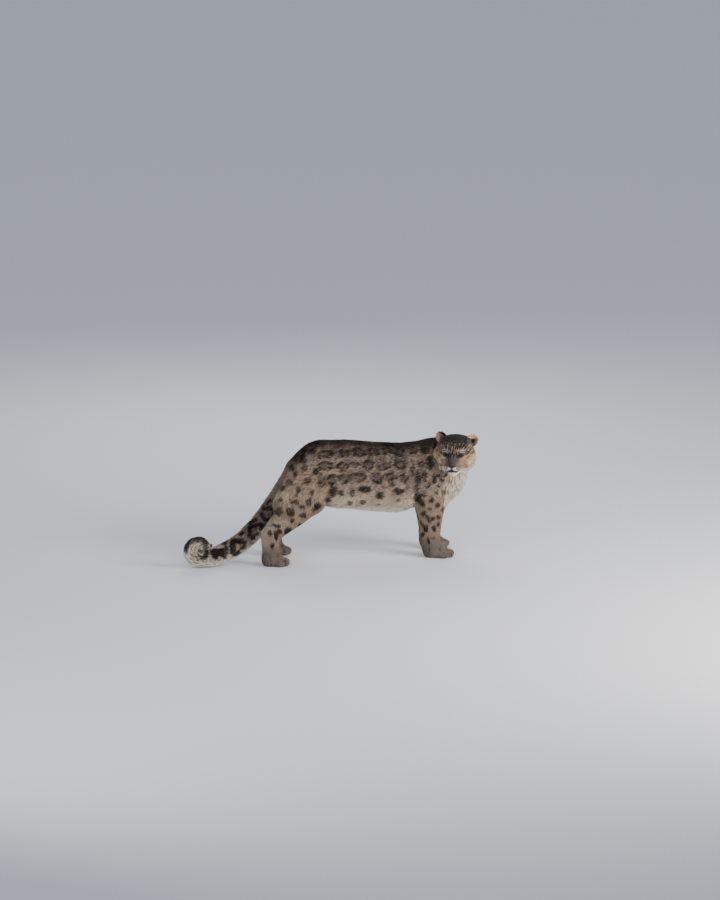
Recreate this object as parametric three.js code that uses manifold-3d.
// Snow leopard, life size, standing on its four paws with the head turned to its right.
// Millimetres: x runs from rump to chest, y to the animal's left, z up from the floor.

import * as THREE from "three";
import Module from "manifold-3d";
import { mergeVertices } from "three/addons/utils/BufferGeometryUtils.js";

const wasm = await Module();
wasm.setup();

// Driving dimensions
const GAP = 0.3;
const CRUMB = 0.12;
const MIDDLE = [-162, -22];
const REACH = 3000;
const SIDES = { left: 1, right: -1 };

// Trunk: balls [x, y, z, radius] along the middle of the body
const TRUNK_NARROW = 1.32;
const TRUNK = [
  [-262, 0, 438, 110],
  [-190, 0, 444, 160],
  [-80, 0, 425, 174],
  [60, 0, 405, 176],
  [190, 0, 392, 178],
  [280, 0, 400, 162],
  [330, 0, 400, 140],
];
const NECK_NARROW = 1.28;
const NECK = [
  [290, 0, 418, 124],
  [380, 16, 474, 110],
  [448, 10, 494, 101],
  [488, -20, 516, 88],
];
const BIB = [
  [492, -22, 462, 78],
  [445, -8, 362, 88],
  [380, 0, 292, 76],
];
const TAIL_ROOT = [
  [-280, 0, 462, 64],
  [-336, 0, 415, 52],
];

// Limbs of the left side; the far (left) feet stand a little ahead of the near ones
const LIMB_NARROW = 1.15;
const FORE_STEP = { left: 24, right: 0 };
const HIND_STEP = { left: 55, right: 0 };
const ARM = [
  [255, 62, 488, 66],
  [340, 82, 372, 70],
  [336, 88, 290, 71],
  [341, 89, 236, 68],
  [342, 90, 180, 57],
  [342, 90, 120, 49],
  [343, 90, 60, 45],
];
const HAUNCH = [
  [-235, 52, 445, 102],
  [-262, 88, 320, 66],
];
const HAM = [
  [-288, 50, 420, 93],
  [-400, 84, 300, 62],
];
const SHANK = [
  [-262, 92, 318, 64],
  [-345, 98, 258, 62],
  [-430, 104, 204, 58],
  [-478, 106, 156, 48],
  [-474, 106, 60, 43],
];

// Paws: heel ball and toes, each toe [forward, outward, length, width, height]
const FORE_PAW = { at: [352, 90], turn: 17, heel: 43, palm: [40, 42], spread: 1 };
const HIND_PAW = { at: [-478, 106], turn: 12, heel: 38, palm: [36, 37], spread: 0.9 };
const TOES = [
  [58, -34, 27, 16, 19],
  [78, -13, 30, 17, 22],
  [77, 14, 30, 17, 22],
  [56, 34, 27, 16, 19],
];

// Head frame: f points out of the face, l to its left, u up
const HEAD_AT = [469, -88, 522];
const HEAD_TURN = THREE.MathUtils.degToRad(-113);
const EYE = { at: [54, 37, 8], radius: 16, lid: 3.6, slit: [15, 7.5] };
const NOSE = { at: [112, 0, -37], size: [13, 18, 12.5] };
const EAR = { ahead: -24, out: 74, size: [18, 30, 33], cup: 12, yaw: 24 };
const EAR_UP = { left: 62, right: 69 };
const EAR_LEAN = { left: 52, right: 30 };
const MOUTH = { back: 47, side: 54, front: 150, level: -66, lift: 7, line: 1.2 };

// Long coat: where it grows [middle], how far [half sizes] and how deep the locks stand out
const LONG = {
  belly: { at: [40, 0, 225], size: [330, 160, 115], depth: 26 },
  chest: { at: [500, -10, 340], size: [150, 150, 170], depth: 24 },
  breech: { at: [-410, 95, 320], size: [80, 75, 130], depth: 14 },
  cheek: { at: [-8, 92, -44], size: [62, 52, 66], depth: 16 },
};
const LOCK = { width: 56, thick: 9, sink: 9, length: 96 };
const SEED = 20;

// Tail: middle line [x, y, z], then a curl wound up over itself
const TAIL_LINE = [
  [-302, 0, 476],
  [-342, 0, 427],
  [-390, 0, 355],
  [-438, 0, 285],
  [-521, -6, 180],
  [-614, -22, 102],
  [-686, -42, 69],
  [-768, -66, 46],
];
const CURL = { at: [-830, 90], radius: 42, from: 270, to: 52, steps: 6, drift: -104 };
const TAIL_FUR = [
  [0, 50],
  [0.12, 52],
  [0.45, 50],
  [0.7, 49],
  [0.82, 46],
  [0.92, 40],
  [1, 30],
];
const TAIL_CUTS = [0.075, 0.26, 0.45, 0.63, 0.83, 1];
const TAIL_SIDES = 10;
const TAIL_STEP = 34;
const TAIL_LOCK = { core: 0.7, around: 5, step: 72, length: 104, thick: 7 };
const TAIL_ROOM = 1.5;

// Cuts between nodes: a point and the direction that the far side lies in
const NECK_CUT = { at: [240, 0, 575], towards: [0.66, 0, 0.752] };
const HEAD_SPACE = { back: -52, throat: -74, front: 150, chin: -132, right: -99, left: 150, top: 200 };
const ARMPIT = { inner: [40, 200], outer: [140, 320], back: 222, front: 520 };
const GROIN = { inner: [8, 195], outer: [70, 480] };
const THIGH_OUTLINE = [
  [-176, 470],
  [-205, 512],
  [-300, 520],
  [-470, 470],
  [-640, 200],
  [-640, -30],
  [-180, -30],
  [-196, 250],
  [-172, 350],
];
const KNEE_CUT = { at: [-400, 232], towards: [-0.47, -0.88] };
const WRIST = 84;
const HOCK = 76;

// How softly neighbouring forms run into each other
const SOFT = { trunk: 60, head: 24, hind: 30, body: 36, skull: 16, paw: 22 };

// Cells of the nets that the surfaces are drawn with
const CELL = {
  torso: [52, 40, 44],
  neck: [36, 32, 32],
  foreleg: [24, 22, 36],
  thigh: [42, 34, 40],
  shank: [25, 23, 29],
  paw: [34, 30, 30],
};

// Sheets of starting points for the locks of the long coat
const ROWS = {
  belly: { corner: [265, -80, 120], rowStep: [-70, 0, 0], rows: 6, columnStep: [0, 50, 0], columns: 4 },
  chest: { corner: [640, -78, 420], rowStep: [0, 0, -44], rows: 4, columnStep: [0, 46, 0], columns: 4 },
  throat: { corner: [640, -30, 460], rowStep: [0, 0, -44], rows: 2, columnStep: [0, 42, 0], columns: 3 },
};
const THROAT_LIFT = 19;

// Materials, one for each finish
const finish = (color, roughness) => new THREE.MeshStandardMaterial({ color, roughness, metalness: 0 });
const COAT = finish("#a89c8c", 0.9);
const PALE_COAT = finish("#d9d3c7", 0.9);
const NOSE_SKIN = finish("#5a4541", 0.5);
const EYE_GLASS = finish("#8f9a78", 0.12);

// Forms: a function of a point giving a rough distance to the surface, negative inside
function limb(balls, narrow) {
  const row = balls.map(([x, y, z, radius]) => [x, y * narrow, z, radius]);
  return (x, y, z) => {
    let nearest = Infinity;
    for (let i = 1; i < row.length; i += 1) {
      const [ax, ay, az, ar] = row[i - 1];
      const [dx, dy, dz, dr] = row[i].map((value, k) => value - row[i - 1][k]);
      const px = x - ax;
      const py = y * narrow - ay;
      const pz = z - az;
      const along = (px * dx + py * dy + pz * dz) / (dx * dx + dy * dy + dz * dz);
      const t = Math.min(1, Math.max(0, along));
      const away = Math.hypot(px - t * dx, py - t * dy, pz - t * dz) - ar - t * dr;
      nearest = Math.min(nearest, away);
    }
    return nearest;
  };
}

function egg([cx, cy, cz], [sx, sy, sz]) {
  return (x, y, z) => {
    const a = (x - cx) / sx;
    const b = (y - cy) / sy;
    const c = (z - cz) / sz;
    const size = Math.hypot(a, b, c);
    const slope = Math.hypot(a / sx, b / sy, c / sz);
    return slope < 1e-9 ? -Math.min(sx, sy, sz) : size * (size - 1) / slope;
  };
}

function melt(forms, softness) {
  return (x, y, z) => {
    let sum = Infinity;
    for (const form of forms) {
      const next = form(x, y, z);
      if (sum === Infinity) {
        sum = next;
        continue;
      }
      const near = Math.max(softness - Math.abs(sum - next), 0) / softness;
      sum = Math.min(sum, next) - near * near * softness * 0.25;
    }
    return sum;
  };
}

// Places in the head frame
const cosTurn = Math.cos(HEAD_TURN);
const sinTurn = Math.sin(HEAD_TURN);
function toHead(x, y, z) {
  const dx = x - HEAD_AT[0];
  const dy = y - HEAD_AT[1];
  return [dx * cosTurn + dy * sinTurn, dy * cosTurn - dx * sinTurn, z - HEAD_AT[2]];
}
function fromHead(f, l, u) {
  return [HEAD_AT[0] + f * cosTurn - l * sinTurn, HEAD_AT[1] + f * sinTurn + l * cosTurn, HEAD_AT[2] + u];
}
const direction = (f, l, u) => [f * cosTurn - l * sinTurn, f * sinTurn + l * cosTurn, u];
const headPlace = new THREE.Matrix4()
  .makeRotationZ(HEAD_TURN)
  .setPosition(...HEAD_AT);

// Skull, cheeks, muzzle, bridge of the nose, brows, lip pads and chin
const pair = (make) => [make(1), make(-1)];
const skull = melt([
  egg([-10, 0, 20], [80, 76, 78]),
  ...pair((side) => egg([-14, side * 36, 44], [58, 42, 47])),
  ...pair((side) => egg([4, side * 50, -14], [60, 47, 54])),
  limb([[42, 0, -32, 45], [84, 0, -43, 32]], 1),
  limb([[58, 0, 22, 27], [102, 0, -20, 18]], 1),
  ...pair((side) => limb([[50, side * 26, 34, 24], [46, side * 44, 26, 20]], 1)),
  ...pair((side) => egg([88, side * 20, -51], [26, 24, 19])),
  limb([[20, 0, -64, 38], [76, 0, -79, 22]], 1),
], SOFT.skull);
const headForm = (x, y, z) => skull(...toHead(x, y, z));

// Whole body as one form
const stepped = (balls, side, step) => balls.map(([x, y, z, radius]) => {
  const low = THREE.MathUtils.clamp((420 - z) / 240, 0, 1);
  return [x + step * low, SIDES[side] * y, z, radius];
});
const trunk = melt([limb(TRUNK, TRUNK_NARROW), limb(NECK, NECK_NARROW), limb(BIB, 1)], SOFT.trunk);
const foreLimb = (side) => limb(stepped(ARM, side, FORE_STEP[side]), LIMB_NARROW);
const hindLimb = (side) => melt(
  [HAUNCH, HAM, SHANK].map((balls) => limb(stepped(balls, side, HIND_STEP[side]), LIMB_NARROW)),
  SOFT.hind,
);
const body = melt([
  melt([trunk, headForm], SOFT.head),
  ...Object.keys(SIDES).map(foreLimb),
  ...Object.keys(SIDES).map(hindLimb),
  limb(TAIL_ROOT, 1),
], SOFT.body);

// Where the coat is long the solid core lies in by up to half its depth, and locks reach out
// to the full outline: patches [middle, half sizes, depth]
function shrink(place, [cx, cy, cz], [sx, sy, sz]) {
  const out = Math.hypot((place[0] - cx) / sx, (place[1] - cy) / sy, (place[2] - cz) / sz);
  const t = THREE.MathUtils.clamp((1 - out) / 0.45, 0, 1);
  return t * t * (3 - 2 * t);
}
function coreInset(x, y, z) {
  const inHead = toHead(x, y, z);
  const mirror = [x, Math.abs(y), z];
  return Math.max(
    LONG.belly.depth * shrink(mirror, LONG.belly.at, LONG.belly.size),
    LONG.chest.depth * shrink([x, y, z], LONG.chest.at, LONG.chest.size),
    LONG.breech.depth * shrink(mirror, LONG.breech.at, LONG.breech.size),
    LONG.cheek.depth * shrink([inHead[0], Math.abs(inHead[1]), inHead[2]], LONG.cheek.at, LONG.cheek.size),
  );
}
const core = (x, y, z) => body(x, y, z) + coreInset(x, y, z);

// Surface of a form as a closed net of quads: one point in each grid cell that the surface
// passes through, slid down the slope of the form until it lies on the surface
function net(form, lines) {
  const [nx, ny, nz] = lines.map((line) => line.length - 1);
  const at = (i, j, k) => (i * (ny + 1) + j) * (nz + 1) + k;
  const value = new Float64Array((nx + 1) * (ny + 1) * (nz + 1));
  for (let i = 0; i <= nx; i += 1) {
    for (let j = 0; j <= ny; j += 1) {
      for (let k = 0; k <= nz; k += 1) {
        const rim = i === 0 || j === 0 || k === 0 || i === nx || j === ny || k === nz;
        const depth = form(lines[0][i], lines[1][j], lines[2][k]);
        value[at(i, j, k)] = rim ? Math.max(depth, 1) : depth;
      }
    }
  }
  const corners = [];
  for (let c = 0; c < 8; c += 1) {
    corners.push([c & 1, (c >> 1) & 1, (c >> 2) & 1]);
  }
  const edges = [];
  corners.forEach((one, a) => corners.forEach((two, b) => {
    const apart = one.reduce((sum, bit, axis) => sum + Math.abs(bit - two[axis]), 0);
    if (a < b && apart === 1) edges.push([a, b]);
  }));
  const points = [];
  const pointAt = new Int32Array(nx * ny * nz).fill(-1);
  const cellAt = (i, j, k) => (i * ny + j) * nz + k;
  for (let i = 0; i < nx; i += 1) {
    for (let j = 0; j < ny; j += 1) {
      for (let k = 0; k < nz; k += 1) {
        const depth = corners.map(([a, b, c]) => value[at(i + a, j + b, k + c)]);
        const sum = [0, 0, 0];
        let crossings = 0;
        for (const [a, b] of edges) {
          if ((depth[a] < 0) === (depth[b] < 0)) continue;
          const t = depth[a] / (depth[a] - depth[b]);
          for (let axis = 0; axis < 3; axis += 1) {
            sum[axis] += corners[a][axis] * (1 - t) + corners[b][axis] * t;
          }
          crossings += 1;
        }
        if (crossings === 0) continue;
        const rim = i === 0 || j === 0 || k === 0 || i === nx - 1 || j === ny - 1 || k === nz - 1;
        const step = [i, j, k].map((index, axis) => lines[axis][index + 1] - lines[axis][index]);
        const start = [i, j, k].map((index, axis) => lines[axis][index] + step[axis] * sum[axis] / crossings);
        pointAt[cellAt(i, j, k)] = points.length;
        points.push(rim ? start : settle(form, start, Math.min(...step) * 0.5));
      }
    }
  }
  const faces = [];
  for (let i = 0; i < nx; i += 1) {
    for (let j = 0; j < ny; j += 1) {
      for (let k = 0; k < nz; k += 1) {
        for (let axis = 0; axis < 3; axis += 1) {
          const here = value[at(i, j, k)] < 0;
          const [a, b] = [(axis + 1) % 3, (axis + 2) % 3];
          const next = [i, j, k];
          if (next[a] === 0 || next[b] === 0) continue;
          next[axis] += 1;
          const there = value[at(...next)] < 0;
          if (here === there) continue;
          const ring = [[-1, -1], [0, -1], [0, 0], [-1, 0]].map(([da, db]) => {
            const index = [i, j, k];
            index[a] += da;
            index[b] += db;
            return pointAt[cellAt(...index)];
          });
          faces.push(...quad(points, here ? ring : ring.reverse()));
        }
      }
    }
  }
  return shape(points, faces);
}

// Grid lines: stretches [from, to, cell] laid end to end, or one even grid in a box
function graded(stretches) {
  const line = [stretches[0][0]];
  for (const [from, to, cell] of stretches) {
    const count = Math.max(1, Math.round((to - from) / cell));
    for (let i = 1; i <= count; i += 1) line.push(from + (to - from) * i / count);
  }
  return line;
}
const even = (low, high, cell) => low.map((start, axis) => graded([[start, high[axis], cell[axis]]]));

function settle(form, start, limit) {
  const place = [...start];
  for (let turn = 0; turn < 3; turn += 1) {
    const depth = form(...place);
    const slope = [0, 1, 2].map((axis) => {
      const ahead = [...place];
      const behind = [...place];
      ahead[axis] += 0.5;
      behind[axis] -= 0.5;
      return form(...ahead) - form(...behind);
    });
    const steep = slope.reduce((sum, part) => sum + part * part, 0);
    if (steep < 1e-6) break;
    slope.forEach((part, axis) => {
      place[axis] -= depth * part / steep;
    });
  }
  const moved = Math.hypot(...place.map((value, axis) => value - start[axis]));
  const share = Math.min(1, limit / Math.max(moved, 1e-9));
  return start.map((value, axis) => value + (place[axis] - value) * share);
}

// A quad as two triangles, split along its shorter diagonal
function quad(points, [a, b, c, d]) {
  const apart = (p, q) => Math.hypot(...points[p].map((value, axis) => value - points[q][axis]));
  return apart(a, c) <= apart(b, d) ? [a, b, c, a, c, d] : [a, b, d, b, c, d];
}

function shape(points, faces) {
  const geometry = new THREE.BufferGeometry();
  geometry.setAttribute("position", new THREE.Float32BufferAttribute(points.flat(), 3));
  geometry.setIndex(faces);
  return geometry;
}

// Solids: closed geometries that can be cut and joined
function solid(geometry) {
  const bare = geometry.clone();
  bare.deleteAttribute("normal");
  bare.deleteAttribute("uv");
  const merged = mergeVertices(bare, 1e-4);
  return new wasm.Manifold(new wasm.Mesh({
    numProp: 3,
    vertProperties: new Float32Array(merged.attributes.position.array),
    triVerts: new Uint32Array(merged.index.array),
  }));
}

const join = (solids) => solids.reduce((sum, next) => sum.add(next));

function largest(block) {
  return block.decompose().reduce((best, next) => (next.volume() > best.volume() ? next : best));
}

// Cuts leave slivers: an edge shorter than the crumb is closed up where that keeps the skin whole
function swept(points, triangles) {
  const apart = (a, b) => Math.hypot(...points[a].map((value, axis) => value - points[b][axis]));
  let faces = triangles;
  for (let pass = 0; pass < 8; pass += 1) {
    const near = points.map(() => new Set());
    for (const [a, b, c] of faces) {
      near[a].add(b).add(c);
      near[b].add(a).add(c);
      near[c].add(a).add(b);
    }
    const target = points.map((point, index) => index);
    const taken = new Set();
    for (const face of faces) {
      for (let corner = 0; corner < 3; corner += 1) {
        const [a, b] = [face[corner], face[(corner + 1) % 3]];
        if (taken.has(a) || taken.has(b) || apart(a, b) > CRUMB) continue;
        const shared = [...near[a]].filter((point) => near[b].has(point));
        if (shared.length !== 2) continue;
        target[b] = a;
        for (const point of [a, b, ...near[a], ...near[b]]) taken.add(point);
      }
    }
    if (taken.size === 0) break;
    faces = faces
      .map((face) => face.map((index) => target[index]))
      .filter(([a, b, c]) => a !== b && b !== c && c !== a);
  }
  return faces;
}

function geometryOf(block) {
  const mesh = block.getMesh();
  const triple = (list, i) => [...list.slice(3 * i, 3 * i + 3)];
  const threes = (list) => Array.from({ length: list.length / 3 }, (_, i) => triple(list, i));
  const points = threes(mesh.vertProperties);
  const geometry = shape(points, swept(points, threes(mesh.triVerts)).flat());
  geometry.computeVertexNormals();
  return geometry;
}

// The same net with every point moved out by a gap, for what must keep clear of it
function swollen(geometry, gap) {
  const copy = geometry.clone();
  copy.computeVertexNormals();
  const { position, normal } = copy.attributes;
  for (let i = 0; i < position.count; i += 1) {
    position.setXYZ(
      i,
      position.getX(i) + gap * normal.getX(i),
      position.getY(i) + gap * normal.getY(i),
      position.getZ(i) + gap * normal.getZ(i),
    );
  }
  return copy;
}

// Everything beyond a plane, as one big box, starting half a gap before it
function beyond({ at, towards }) {
  const out = new THREE.Vector3(...towards).normalize();
  const box = new THREE.BoxGeometry(REACH, REACH, REACH);
  box.translate(0, 0, REACH / 2 - GAP / 2);
  box.applyQuaternion(new THREE.Quaternion().setFromUnitVectors(new THREE.Vector3(0, 0, 1), out));
  box.translate(...at);
  return solid(box);
}
const flip = ({ at, towards }) => ({ at, towards: towards.map((part) => -part) });
const level = (z) => ({ at: [0, 0, z], towards: [0, 0, 1] });
const nearSide = (block, plane) => block.subtract(beyond(plane));
const farSide = (block, plane) => block.subtract(beyond(flip(plane)));

// Seeded draws, so that each build is the same
function draws(seed) {
  let state = seed;
  return (low, high) => {
    state = (state * 1664525 + 1013904223) % 4294967296;
    return low + (high - low) * state / 4294967296;
  };
}

// One lock of fur: a flat three-sided blade that rises from its sunk root, follows the curve of
// its bed along the lie of the coat and tapers to a point near the full outline.
// A bed gives the place `ahead` of the root, `across` it and `up` from the core
function lock(bed, { length, width, thick, sink, lift, curl }) {
  const stations = [
    [0, 0.8, 1, -sink],
    [0.4, 1, 1, lift * 0.62 - thick * 0.5],
    [0.78, 0.74, 0.8, lift - thick * 0.8],
  ];
  const points = [];
  for (const [t, wide, deep, height] of stations) {
    const swing = curl * length * t * t;
    points.push(bed(length * t, swing - width * wide / 2, height));
    points.push(bed(length * t, swing + width * wide / 2, height));
    points.push(bed(length * t, swing, height + thick * deep));
  }
  points.push(bed(length, curl * length, lift * 0.8));
  const faces = [0, 2, 1];
  for (let ring = 0; ring < 2; ring += 1) {
    for (let i = 0; i < 3; i += 1) {
      const [a, b] = [ring * 3 + i, ring * 3 + (i + 1) % 3];
      faces.push(a, b + 3, a + 3, a, b, b + 3);
    }
  }
  faces.push(6, 7, 9, 7, 8, 9, 8, 6, 9);
  return solid(shape(points, faces));
}

// The core's outward direction near a point
function outward(place) {
  const slope = [0, 1, 2].map((axis) => {
    const shift = new THREE.Vector3().setComponent(axis, 1);
    return core(...place.clone().add(shift).toArray()) - core(...place.clone().sub(shift).toArray());
  });
  return new THREE.Vector3(...slope).normalize();
}

// A point on the core, met by going from a point outside in a given direction
function landing(start, towards) {
  const step = new THREE.Vector3(...towards).normalize();
  const place = new THREE.Vector3(...start);
  for (let count = 0; count < 120; count += 1) {
    const depth = core(...place.toArray());
    if (depth < 0.2) break;
    place.addScaledVector(step, Math.max(0.5, depth * 0.8));
  }
  return place;
}

// Bed on the core: slides each place down onto the surface before it is lifted
function bodyBed(root, flow) {
  const out = outward(root);
  const along = flow.clone().addScaledVector(out, -flow.dot(out)).normalize();
  const side = new THREE.Vector3().crossVectors(out, along).normalize();
  return (ahead, across, up) => {
    const place = root.clone().addScaledVector(along, ahead).addScaledVector(side, across);
    let local = outward(place);
    for (let turn = 0; turn < 2; turn += 1) {
      place.addScaledVector(local, -core(...place.toArray()));
      local = outward(place);
    }
    return place.addScaledVector(local, up).toArray();
  };
}

// A coat of locks: rows of starting points, each landed on the core and laid along a flow
function coat(starts, towards, flow, sizes, seed) {
  const draw = draws(seed);
  return starts.map((start) => {
    const sway = new THREE.Vector3(0, draw(-0.12, 0.12), draw(-0.08, 0.08));
    return lock(bodyBed(landing(start, towards), new THREE.Vector3(...flow).add(sway)), {
      ...sizes,
      length: sizes.length * draw(0.86, 1.12),
      width: sizes.width * draw(0.88, 1.1),
      lift: sizes.lift * draw(0.85, 1.05),
      curl: draw(-0.14, 0.14),
    });
  });
}

// Rows and columns of points on a slanted sheet, every other row shifted half a step
function sheet({ corner, rowStep, rows, columnStep, columns }) {
  const points = [];
  for (let row = 0; row < rows; row += 1) {
    for (let column = 0; column < columns; column += 1) {
      const across = column + (row % 2) * 0.5;
      points.push(corner.map((value, axis) => value + rowStep[axis] * row + columnStep[axis] * across));
    }
  }
  return points;
}

// Ground: all that would reach below it is cut off flat
const ground = new THREE.BoxGeometry(REACH, REACH, REACH);
ground.translate(0, 0, -REACH / 2);
const belowFloor = solid(ground);
const onFloor = (block) => block.subtract(belowFloor);

// Space that holds the head, in its own frame: closed behind the skull, under the throat and
// beyond the right cheek, where the head turns against the neck
function headSpace(margin) {
  const { back, throat, front, chin, right, left, top } = HEAD_SPACE;
  const outline = new THREE.Shape([
    new THREE.Vector2(back - margin, throat - margin),
    new THREE.Vector2(front, chin - margin),
    new THREE.Vector2(front, top),
    new THREE.Vector2(back - margin, top),
  ]);
  const depth = left - right + margin;
  const block = new THREE.ExtrudeGeometry(outline, { depth, bevelEnabled: false });
  block.rotateX(Math.PI / 2);
  block.translate(0, left, 0);
  return block;
}

// Space that holds one foreleg, or one hind leg, seen as a block out of the body
function sloped(side, inner, outer, margin) {
  const out = new THREE.Vector3(0, SIDES[side] * (outer[1] - inner[1]), inner[0] - outer[0]).normalize();
  const at = [0, SIDES[side] * inner[0], inner[1]];
  const moved = at.map((part, axis) => part - out.getComponent(axis) * margin);
  return beyond({ at: moved, towards: out.toArray() });
}

function foreSpace(side, margin) {
  const { back, front, inner, outer } = ARMPIT;
  const block = new THREE.BoxGeometry(front - back + 2 * margin, REACH, REACH);
  block.translate((front + back) / 2, 0, 0);
  return solid(block).intersect(sloped(side, inner, outer, margin));
}

function hindSpace(side, margin) {
  const ahead = HIND_STEP[side] * 0.3;
  const outline = new THREE.Shape(THIGH_OUTLINE.map(([x, z]) => new THREE.Vector2(x + ahead, z)));
  const block = new THREE.ExtrudeGeometry(outline, { depth: REACH, bevelEnabled: false });
  block.rotateX(Math.PI / 2);
  block.translate(0, REACH / 2, 0);
  const plain = solid(block);
  const grown = margin > 0 ? join(around(margin).map((shift) => plain.translate(shift))) : plain;
  return grown.intersect(sloped(side, GROIN.inner, GROIN.outer, margin));
}

function around(margin) {
  const shifts = [[0, 0, 0]];
  for (let turn = 0; turn < 8; turn += 1) {
    const angle = turn * Math.PI / 4;
    shifts.push([margin * Math.cos(angle), 0, margin * Math.sin(angle)]);
  }
  return shifts;
}

// Tail: rings along the middle line, flat at its root and rounded at its tip
function tailLine() {
  const points = TAIL_LINE.map((point) => new THREE.Vector3(...point));
  const [startX, startZ] = CURL.at;
  for (let turn = 0; turn <= CURL.steps; turn += 1) {
    const share = turn / CURL.steps;
    const angle = THREE.MathUtils.degToRad(CURL.from + (CURL.to - CURL.from) * share);
    points.push(new THREE.Vector3(
      startX + CURL.radius * Math.cos(angle),
      TAIL_LINE.at(-1)[1] + (CURL.drift - TAIL_LINE.at(-1)[1]) * share,
      startZ + CURL.radius * Math.sin(angle),
    ));
  }
  return new THREE.CatmullRomCurve3(points, false, "centripetal");
}
const tailCurve = tailLine();
const tailLength = tailCurve.getLength();

function furRadius(share) {
  const next = Math.max(1, TAIL_FUR.findIndex(([at]) => at >= share));
  const [a, low] = TAIL_FUR[next - 1];
  const [b, high] = TAIL_FUR[next];
  return low + (high - low) * (share - a) / (b - a);
}

function tailFrame(wanted) {
  const share = Math.min(1, wanted);
  const at = tailCurve.getPointAt(share);
  const along = tailCurve.getTangentAt(share);
  const side = new THREE.Vector3(0, 1, 0).addScaledVector(along, -along.y).normalize();
  return { at, along, side, up: new THREE.Vector3().crossVectors(side, along) };
}

// Bed on the tail's core, at a share of its length and an angle round it
function tailBed(start, angle) {
  return (ahead, across, up) => {
    const wanted = start + ahead / tailLength;
    const share = Math.min(1, wanted);
    const { at, along, side, up: top } = tailFrame(share);
    const radius = furRadius(share) * TAIL_LOCK.core;
    const turn = angle + across / (radius + Math.max(0, up));
    return at.addScaledVector(along, (wanted - share) * tailLength)
      .addScaledVector(side, (radius + up) * Math.cos(turn))
      .addScaledVector(top, (radius + up) * Math.sin(turn))
      .toArray();
  };
}

function tailPiece(from, to, size, rounded) {
  const rings = [];
  const ring = (share, radius, ahead) => {
    const { at, along, side, up } = tailFrame(share);
    const points = [];
    for (let i = 0; i < TAIL_SIDES; i += 1) {
      const angle = 2 * Math.PI * i / TAIL_SIDES;
      points.push(at.clone()
        .addScaledVector(along, ahead)
        .addScaledVector(side, radius * Math.cos(angle))
        .addScaledVector(up, radius * Math.sin(angle))
        .toArray());
    }
    rings.push(points);
  };
  const steps = Math.max(2, Math.round((to - from) * tailLength / TAIL_STEP));
  for (let i = 0; i <= steps; i += 1) {
    const share = from + (to - from) * i / steps;
    ring(share, size(furRadius(share)), 0);
  }
  const blunt = size(furRadius(to));
  if (rounded) {
    ring(to, blunt * 0.87, blunt * 0.5);
    ring(to, blunt * 0.5, blunt * 0.87);
  }
  const points = rings.flat();
  const first = points.push(tailFrame(from).at.toArray()) - 1;
  const end = tailFrame(to);
  const last = points.push(end.at.clone().addScaledVector(end.along, rounded ? blunt : 0).toArray()) - 1;
  const faces = [];
  for (let i = 0; i < TAIL_SIDES; i += 1) {
    const j = (i + 1) % TAIL_SIDES;
    faces.push(first, i, j);
    faces.push(last, (rings.length - 1) * TAIL_SIDES + j, (rings.length - 1) * TAIL_SIDES + i);
    for (let r = 1; r < rings.length; r += 1) {
      const low = (r - 1) * TAIL_SIDES;
      const high = r * TAIL_SIDES;
      faces.push(...quad(points, [low + i, high + i, high + j, low + j]));
    }
  }
  return shape(points, faces);
}

// Paw: the foot below the ankle with its four toes, flat on the floor
function paw(side, limbForm, { at, turn, heel, palm, spread }, step, ankle) {
  const turned = THREE.MathUtils.degToRad(SIDES[side] * turn);
  const place = new THREE.Matrix4().makeRotationZ(turned).setPosition(at[0] + step, SIDES[side] * at[1], 0);
  const [front, half] = palm;
  const back = new THREE.Vector3(-6, 0, 30).applyMatrix4(place);
  const tip = new THREE.Vector3(front, 0, 22).applyMatrix4(place);
  const foot = melt([
    limbForm,
    limb([[...back.toArray(), heel], [...tip.toArray(), half]], 1),
  ], SOFT.paw);
  const middle = new THREE.Vector3(22, 0, 0).applyMatrix4(place);
  const low = [middle.x - 110, middle.y - 85, -40];
  const high = [middle.x + 110, middle.y + 85, ankle + 30];
  let block = nearSide(solid(net(foot, even(low, high, CELL.paw))), level(ankle));
  for (const [forward, outward, length, width, height] of TOES) {
    const toe = new THREE.SphereGeometry(1, 7, 5);
    toe.scale(length * spread, width * spread, height);
    toe.rotateY(0.12);
    toe.translate(forward * spread, SIDES[side] * outward * spread, height * 0.8);
    toe.applyMatrix4(place);
    block = block.add(solid(toe));
  }
  return onFloor(block);
}

// Head: one net in its own frame, with sockets, lids, nose and mouth worked into it
function headNet() {
  const whole = (f, l, u) => core(...fromHead(f, l, u));
  return net(whole, [
    graded([[-80, 20, 25], [20, 134, 15.2]]),
    graded([[-120, -52, 24], [-52, 52, 14.2], [52, 120, 24]]),
    graded([[-146, -98, 24], [-98, 40, 14.8], [40, 124, 21]]),
  ]);
}

function ball(radius, across, rings) {
  const sphere = new THREE.SphereGeometry(radius, across, rings);
  sphere.rotateZ(-Math.PI / 2);
  return sphere;
}

function eyeAt(geometry, side) {
  const [f, l, u] = EYE.at;
  const turned = geometry.clone();
  turned.rotateZ(side * 0.2);
  turned.translate(f, side * l, u);
  return solid(turned);
}

// Opening between the lids: an almond seen from the front, a little lower at its inner corner
function slit(side) {
  const [half, height] = EYE.slit;
  const almond = new THREE.Shape();
  almond.moveTo(-half, -height * 0.2);
  almond.quadraticCurveTo(-half * 0.1, height * 1.9, half, height * 0.3);
  almond.quadraticCurveTo(half * 0.1, -height * 1.5, -half, -height * 0.2);
  const hole = new THREE.ExtrudeGeometry(almond, { depth: 60, bevelEnabled: false, curveSegments: 5 });
  hole.rotateX(Math.PI / 2);
  hole.rotateZ(Math.PI / 2);
  return eyeAt(hole, side);
}

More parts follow.
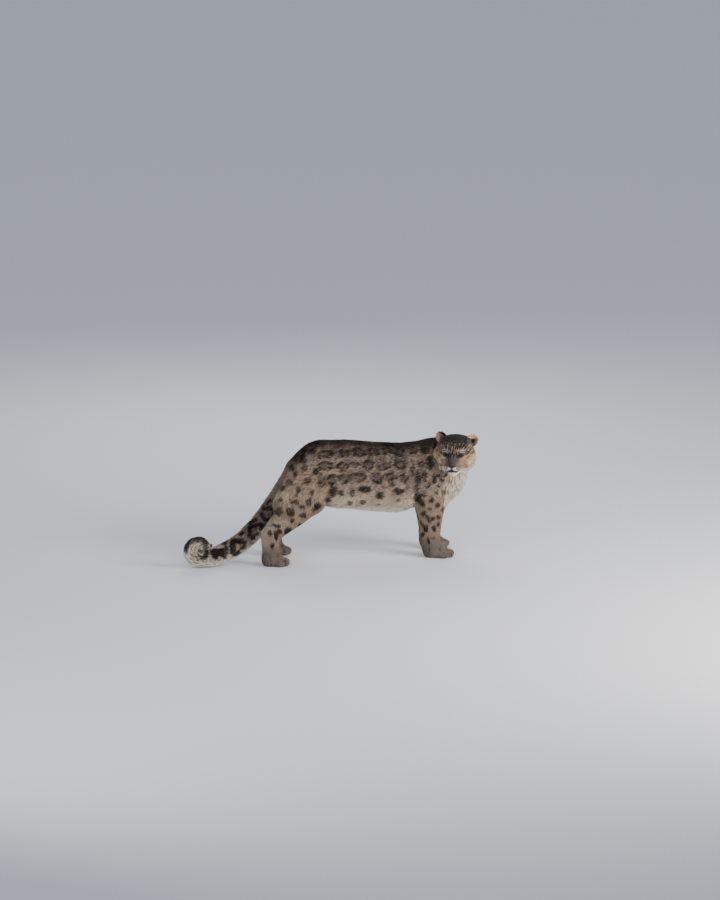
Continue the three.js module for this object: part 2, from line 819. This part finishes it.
// Block below the line of the mouth: it rises in the middle, under the nose
function jawSpace(raise, back) {
  const rows = 12;
  const line = [];
  for (let i = 0; i <= rows; i += 1) {
    const l = -MOUTH.side + 2 * MOUTH.side * i / rows;
    const swing = Math.exp(-((l / 9) ** 2)) - 0.6 * Math.exp(-(((Math.abs(l) - 20) / 12) ** 2));
    line.push(new THREE.Vector2(l, MOUTH.level + MOUTH.lift * swing + raise));
  }
  line.push(new THREE.Vector2(MOUTH.side, -200), new THREE.Vector2(-MOUTH.side, -200));
  const outline = new THREE.Shape(line.reverse());
  const block = new THREE.ExtrudeGeometry(outline, { depth: MOUTH.front - back, bevelEnabled: false });
  block.rotateX(Math.PI / 2);
  block.rotateZ(Math.PI / 2);
  block.translate(back, 0, 0);
  return solid(block);
}

function noseShape(grow) {
  const pad = ball(1, 10, 7);
  pad.scale(...NOSE.size.map((half) => half + grow));
  pad.translate(...NOSE.at);
  return solid(pad);
}

function nostril(side) {
  const hole = ball(1, 7, 5);
  hole.scale(9, 4.2, 3.2);
  hole.rotateX(side * 0.5);
  hole.translate(NOSE.at[0] + 11, side * 8.5, NOSE.at[2] - 3);
  return solid(hole);
}

function earShape(name, skin) {
  const side = SIDES[name];
  const [thick, half, tall] = EAR.size;
  const lean = THREE.MathUtils.degToRad(EAR_LEAN[name]);
  const yaw = THREE.MathUtils.degToRad(EAR.yaw);
  const shell = (scale, ahead) => {
    const bowl = new THREE.SphereGeometry(1, 11, 7);
    bowl.scale(thick * scale, half * scale, tall * scale);
    bowl.translate(ahead, 0, ahead * 0.15);
    bowl.rotateX(-side * lean);
    bowl.rotateZ(side * yaw);
    bowl.translate(EAR.ahead, side * EAR.out, EAR_UP[name]);
    return solid(bowl);
  };
  return largest(shell(1, 0).subtract(shell(0.9, EAR.cup)).subtract(skin));
}

const neckNet = net(core, even([180, -210, 230], [660, 170, 680], CELL.neck));

function headParts() {
  const skin = headNet();
  const nape = swollen(neckNet, GAP + 0.1).applyMatrix4(headPlace.clone().invert());
  const clear = solid(swollen(skin, GAP + 0.1)).add(solid(nape));
  let head = solid(skin);
  for (const side of [1, -1]) {
    head = head.add(eyeAt(ball(EYE.radius + EYE.lid, 12, 9), side));
  }
  for (const side of [1, -1]) {
    head = head.subtract(eyeAt(ball(EYE.radius + GAP, 12, 8), side)).subtract(slit(side));
  }
  for (const side of [1, -1]) {
    const rows = sheet({
      corner: [22, side * 170, -4],
      rowStep: [-2, 0, -34],
      rows: 3,
      columnStep: [-34, 0, -6],
      columns: 2,
    });
    const local = rows.map(([f, l, u]) => fromHead(f, l, u));
    const inward = direction(0, -side, 0.15);
    const down = direction(-0.45, side * 0.2, -0.85);
    const ruff = { ...LOCK, length: 70, lift: LONG.cheek.depth };
    const toLocal = headPlace.clone().invert();
    for (const blade of coat(local, inward, down, ruff, SEED + 3 + side)) {
      head = head.add(blade.transform(toLocal.toArray()));
    }
  }
  head = head.intersect(solid(headSpace(0)));
  const jaw = head.intersect(jawSpace(0, MOUTH.back + GAP));
  head = head.subtract(jawSpace(MOUTH.line, MOUTH.back)).subtract(noseShape(GAP));
  const groove = new THREE.BoxGeometry(12, 1.6, 26);
  groove.translate(NOSE.at[0] + 4, 0, NOSE.at[2] - NOSE.size[2] - 10);
  head = head.subtract(solid(groove));
  const nose = noseShape(0).subtract(nostril(1)).subtract(nostril(-1));
  return {
    head: largest(head),
    lower_jaw: largest(jaw.subtract(noseShape(GAP))),
    nose: largest(nose),
    ear_left: earShape("left", clear),
    ear_right: earShape("right", clear),
    eye_left: eyeAt(ball(EYE.radius, 12, 8), 1),
    eye_right: eyeAt(ball(EYE.radius, 12, 8), -1),
  };
}

// All nodes
const nodes = [];
function add(name, block, material, place) {
  const geometry = geometryOf(block);
  if (place) geometry.applyMatrix4(place);
  const mesh = new THREE.Mesh(geometry, material);
  mesh.name = name;
  nodes.push(mesh);
}

const tailClear = solid(tailPiece(TAIL_CUTS[0], 1, (fur) => fur + GAP + TAIL_ROOM, true));
const headClear = solid(headSpace(GAP).applyMatrix4(headPlace));

function torso() {
  const low = [-420, -200, 120];
  const high = [560, 200, 640];
  let block = solid(net(core, even(low, high, CELL.torso)));
  const belly = { ...LOCK, lift: LONG.belly.depth };
  const chest = { ...LOCK, lift: LONG.chest.depth };
  block = join([
    block,
    ...coat(sheet(ROWS.belly), [0, 0, 1], [-1, 0, -0.25], belly, SEED),
    ...coat(sheet(ROWS.chest), [-1, 0, 0], [-0.25, 0, -1], chest, SEED + 1),
  ]);
  block = nearSide(block, NECK_CUT);
  for (const side of Object.keys(SIDES)) {
    block = block.subtract(foreSpace(side, GAP)).subtract(hindSpace(side, GAP));
  }
  return largest(block.subtract(tailClear).subtract(headClear));
}

function neck() {
  const throat = { ...LOCK, lift: THROAT_LIFT };
  const locks = coat(sheet(ROWS.throat), [-1, 0, 0], [-0.3, 0, -1], throat, SEED + 6);
  const block = join([solid(neckNet), ...locks]);
  return largest(farSide(block, NECK_CUT).subtract(headClear));
}

function foreleg(side) {
  const step = FORE_STEP[side];
  const low = [230 + step * 0.6, SIDES[side] * 90 - 100, WRIST - 40];
  const high = [450 + step, SIDES[side] * 90 + 100, 340];
  const block = solid(net(body, even(low, high, CELL.foreleg)));
  return largest(farSide(block.intersect(foreSpace(side, 0)), level(WRIST)));
}

function hindPieces(side) {
  const step = HIND_STEP[side];
  const y = SIDES[side] * 90;
  const low = [-540 + step * 0.5, y - 130, HOCK - 40];
  const high = [-130 + step, y + 130, 580];
  const space = hindSpace(side, 0);
  const breech = { ...LOCK, length: 78, lift: LONG.breech.depth };
  const rows = sheet({
    corner: [-600, SIDES[side] * 62, 410],
    rowStep: [0, 0, -52],
    rows: 3,
    columnStep: [0, SIDES[side] * 38, 0],
    columns: 2,
  });
  const locks = coat(rows, [1, 0, 0], [-0.35, 0, -1], breech, SEED + 8 + SIDES[side]);
  const upper = join([solid(net(core, even(low, high, CELL.thigh))), ...locks]).intersect(space);
  const lower = solid(net(core, even(low, [-300 + step, y + 130, 330], CELL.shank))).intersect(space);
  const [kneeX, kneeZ] = KNEE_CUT.at;
  const [ahead, down] = KNEE_CUT.towards;
  const knee = { at: [kneeX + step, 0, kneeZ], towards: [ahead, 0, down] };
  return {
    thigh: largest(nearSide(upper, knee).subtract(tailClear)),
    shank: largest(farSide(farSide(lower, knee), level(HOCK)).subtract(tailClear)),
  };
}

// One length of the tail: its core, its locks, and nothing past the joints at its two ends
function tailNode(from, to, rounded, seed) {
  const draw = draws(seed);
  const seam = GAP / 2 / tailLength;
  const end = rounded ? to : to - seam;
  const blades = [];
  const rows = Math.round((to - from) * tailLength / TAIL_LOCK.step);
  for (let row = 0; row < rows; row += 1) {
    for (let i = 0; i < TAIL_LOCK.around; i += 1) {
      const share = from + (to - from) * (row + draw(0.05, 0.3)) / rows;
      const angle = 2 * Math.PI * (i + (row % 2) * 0.5 + draw(-0.12, 0.12)) / TAIL_LOCK.around;
      const fur = furRadius(share);
      blades.push(lock(tailBed(share, angle), {
        ...LOCK,
        length: TAIL_LOCK.length * fur / furRadius(0) * draw(0.9, 1.1),
        width: 2 * Math.PI * fur * TAIL_LOCK.core / TAIL_LOCK.around * 1.3,
        thick: TAIL_LOCK.thick,
        lift: fur * (1 - TAIL_LOCK.core) * draw(0.85, 1),
        curl: draw(-0.12, 0.12),
      }));
    }
  }
  let block = join([solid(tailPiece(from + seam, end, (fur) => fur * TAIL_LOCK.core, rounded)), ...blades]);
  const over = TAIL_LOCK.length / tailLength;
  const fat = (fur) => fur + 6;
  if (!rounded) block = block.subtract(solid(tailPiece(end, Math.min(1, to + over), fat, false)));
  const before = solid(tailPiece(Math.max(0, from - over), from + seam, fat, false));
  return largest(onFloor(block.subtract(before)));
}

for (const [name, block] of Object.entries(headParts())) {
  const look = { nose: NOSE_SKIN, eye_left: EYE_GLASS, eye_right: EYE_GLASS, lower_jaw: PALE_COAT };
  add(name, block, look[name] ?? COAT, headPlace);
}
add("neck", neck(), COAT);
add("torso", torso(), COAT);
for (const side of Object.keys(SIDES)) {
  const { thigh, shank } = hindPieces(side);
  add(`foreleg_${side}`, foreleg(side), COAT);
  add(`forepaw_${side}`, largest(paw(side, foreLimb(side), FORE_PAW, FORE_STEP[side], WRIST)), PALE_COAT);
  add(`thigh_${side}`, thigh, COAT);
  add(`hindleg_${side}`, shank, COAT);
  add(`hindpaw_${side}`, largest(paw(side, hindLimb(side), HIND_PAW, HIND_STEP[side], HOCK)), PALE_COAT);
}

const tailNames = ["tail_1", "tail_2", "tail_3", "tail_4", "tail_tip"];
tailNames.forEach((name, i) => {
  const rounded = i === tailNames.length - 1;
  add(name, tailNode(TAIL_CUTS[i], TAIL_CUTS[i + 1], rounded, SEED + 10 + i), COAT);
});

const leopard = new THREE.Group();
leopard.add(...nodes);
leopard.position.set(-MIDDLE[0], -MIDDLE[1], 0);

export default leopard;
